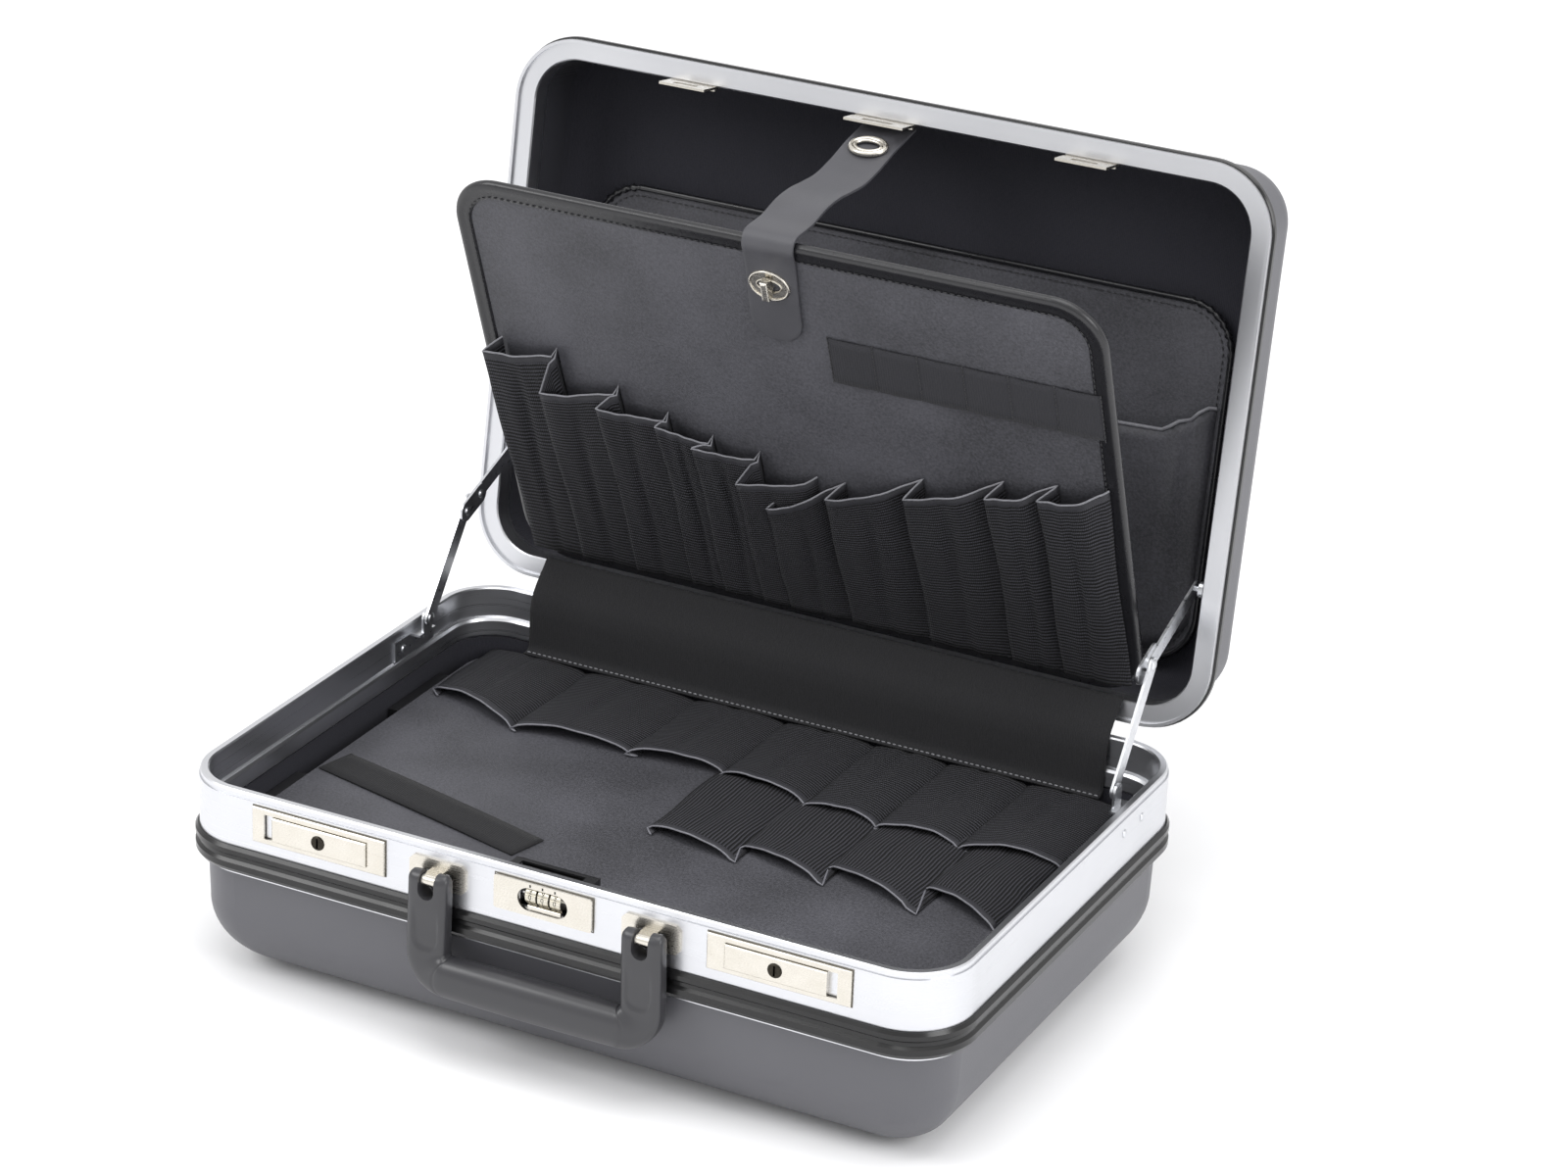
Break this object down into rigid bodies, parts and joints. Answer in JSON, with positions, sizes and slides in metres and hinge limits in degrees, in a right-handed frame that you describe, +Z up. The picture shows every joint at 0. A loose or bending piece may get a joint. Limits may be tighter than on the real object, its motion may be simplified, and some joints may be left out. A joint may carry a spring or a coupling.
{
  "type": "tool attache case",
  "caption": "Hard case with moulded shells in metal frames, stayed lid with a folding tool board, pallet, slide locks and a drop handle.",
  "frame": {"origin": "middle of the tray's flat underside", "axes": "+X to the case's right as seen from its handle side, +Y to the hinges at the back, +Z up"},
  "size_m": [0.49, 0.4664, 0.4579],
  "materials": {
    "shell_abs": "satin moulded ABS, dark grey",
    "frame_aluminium": "bright satin anodised",
    "trim_bright": "polished strip",
    "bumper_rubber": "matt black extruded bumper",
    "nickel": "satin nickel plate",
    "steel": "bright zinc plated",
    "lining": "dark lining cloth",
    "board_vinyl": "black coated fibreboard",
    "piping_vinyl": "glossy vinyl piping",
    "webbing": "ribbed pocket cloth",
    "handle_satin": "satin black die casting",
    "grip_plastic": "matt moulded grip",
    "dark_plastic": "matt black",
    "dial_plastic": "cream numeral wheels"
  },
  "bodies": {
    "tray": {"tray_shell": "shell_abs", "tray_lining": "lining", "tray_frame": "frame_aluminium", "tray_seal": "bumper_rubber", "tray_trim_strip": "trim_bright", "hinge_tray_leaves": "steel", "hinge_pins": "steel", "tray_rivets": "steel", "lock_plates": "nickel", "combination_plate": "nickel", "combination_case": "dark_plastic", "dial_axle": "steel", "handle_brackets": "nickel", "stay_tray_brackets": "steel", "stay_tray_pins": "steel", "pallet": "board_vinyl", "pallet_ledges": "dark_plastic", "pallet_pockets_back": "webbing", "pallet_pockets_front": "webbing", "pallet_strap": "webbing", "hinge_flap": "board_vinyl"},
    "lid": {"lid_shell": "shell_abs", "lid_lining": "lining", "lid_frame": "frame_aluminium", "lid_seal": "bumper_rubber", "hinge_lid_leaves": "steel", "lid_hinge_rivets": "steel", "stay_lid_brackets": "steel", "stay_lid_pins": "steel", "centre_catch": "nickel", "side_catches": "nickel", "document_panel": "lining", "document_pocket": "lining"},
    "board": {"tool_board": "board_vinyl", "board_piping": "piping_vinyl", "board_pockets": "webbing", "tool_loops": "webbing", "turn_lock_base": "nickel", "turn_lock_eyelet": "nickel", "board_strap": "board_vinyl", "strap_eyelet": "nickel"},
    "turn_lock": {"turn_lock_knob": "nickel"},
    "handle": {"handle_arms": "handle_satin", "handle_grip": "grip_plastic", "handle_core": "steel", "handle_pins": "steel"},
    "stay_lower_left": {"stay_lower_link_left": "steel"},
    "stay_lower_right": {"stay_lower_link_right": "steel"},
    "stay_upper_left": {"stay_upper_link_left": "steel", "stay_knee_plate_left": "steel"},
    "stay_upper_right": {"stay_upper_link_right": "steel", "stay_knee_plate_right": "steel"},
    "lock_slider_left": {"lock_slider_left": "nickel"},
    "lock_slider_right": {"lock_slider_right": "nickel"},
    "key_left": {"key_plug_left": "nickel"},
    "key_right": {"key_plug_right": "nickel"},
    "dial_1": {"combination_dial_1": "dial_plastic"},
    "dial_2": {"combination_dial_2": "dial_plastic"},
    "dial_3": {"combination_dial_3": "dial_plastic"},
    "combination_button": {"combination_button": "nickel"}
  },
  "joints": [
    {"name": "lid_hinge", "type": "hinge", "parent": "tray", "child": "lid", "pos_m": [0, 0.1715, 0.123], "axis": [1, 0, 0], "range_deg": [0, 98.9], "deforming": ["hinge_flap"]},
    {"name": "board_tilt", "type": "hinge", "parent": "lid", "child": "board", "pos_m": [0, 0.17635, 0.14299], "axis": [1, 0, 0], "range_deg": [-30, 0], "deforming": ["board_strap", "strap_eyelet"]},
    {"name": "stay_lower_turn_left", "type": "hinge", "parent": "tray", "child": "stay_lower_left", "pos_m": [-0.225, 0.0886, 0.126], "axis": [1, 0, 0], "range_deg": [0, 116.84]},
    {"name": "stay_upper_turn_left", "type": "hinge", "parent": "lid", "child": "stay_upper_left", "pos_m": [-0.223, 0.19671, 0.20964], "axis": [1, 0, 0], "range_deg": [-122.93, 0]},
    {"name": "stay_lower_turn_right", "type": "hinge", "parent": "tray", "child": "stay_lower_right", "pos_m": [0.225, 0.0886, 0.126], "axis": [1, 0, 0], "range_deg": [0, 116.84]},
    {"name": "stay_upper_turn_right", "type": "hinge", "parent": "lid", "child": "stay_upper_right", "pos_m": [0.223, 0.19671, 0.20964], "axis": [1, 0, 0], "range_deg": [-122.93, 0]},
    {"name": "handle_swing", "type": "hinge", "parent": "tray", "child": "handle", "pos_m": [0, -0.1717, 0.106], "axis": [1, 0, 0], "range_deg": [-90, 0]},
    {"name": "lock_slide_left", "type": "slide", "parent": "tray", "child": "lock_slider_left", "axis": [-1, 0, 0], "range_m": [0, 0.005], "stiffness_N_per_m": 200},
    {"name": "key_turn_left", "type": "hinge", "parent": "lock_slider_left", "child": "key_left", "pos_m": [-0.1423, -0.166, 0.1066], "axis": [0, 1, 0], "range_deg": [0, 90]},
    {"name": "lock_slide_right", "type": "slide", "parent": "tray", "child": "lock_slider_right", "axis": [1, 0, 0], "range_m": [0, 0.005], "stiffness_N_per_m": 200},
    {"name": "key_turn_right", "type": "hinge", "parent": "lock_slider_right", "child": "key_right", "pos_m": [0.1423, -0.166, 0.1066], "axis": [0, 1, 0], "range_deg": [0, 90]},
    {"name": "dial_turn_1", "type": "hinge", "parent": "tray", "child": "dial_1", "pos_m": [-0.0077, -0.1601, 0.1088], "axis": [1, 0, 0], "continuous": true},
    {"name": "dial_turn_2", "type": "hinge", "parent": "tray", "child": "dial_2", "pos_m": [0, -0.1601, 0.1088], "axis": [1, 0, 0], "continuous": true},
    {"name": "dial_turn_3", "type": "hinge", "parent": "tray", "child": "dial_3", "pos_m": [0.0077, -0.1601, 0.1088], "axis": [1, 0, 0], "continuous": true},
    {"name": "combination_slide", "type": "slide", "parent": "tray", "child": "combination_button", "axis": [-1, 0, 0], "range_m": [0, 0.003], "stiffness_N_per_m": 150},
    {"name": "turn_lock_turn", "type": "hinge", "parent": "board", "child": "turn_lock", "pos_m": [0, 0.08253, 0.3874], "axis": [0, -0.9336, -0.3584], "range_deg": [0, 90]}
  ],
  "couplings": [
    {"joint": "board_tilt", "follows": "lid_hinge", "ratio": -0.30233},
    {"joint": "stay_lower_turn_left", "follows": "lid_hinge", "ratio": 1.1783},
    {"joint": "stay_upper_turn_left", "follows": "lid_hinge", "ratio": -1.24},
    {"joint": "stay_lower_turn_right", "follows": "lid_hinge", "ratio": 1.1783},
    {"joint": "stay_upper_turn_right", "follows": "lid_hinge", "ratio": -1.24}
  ]
}
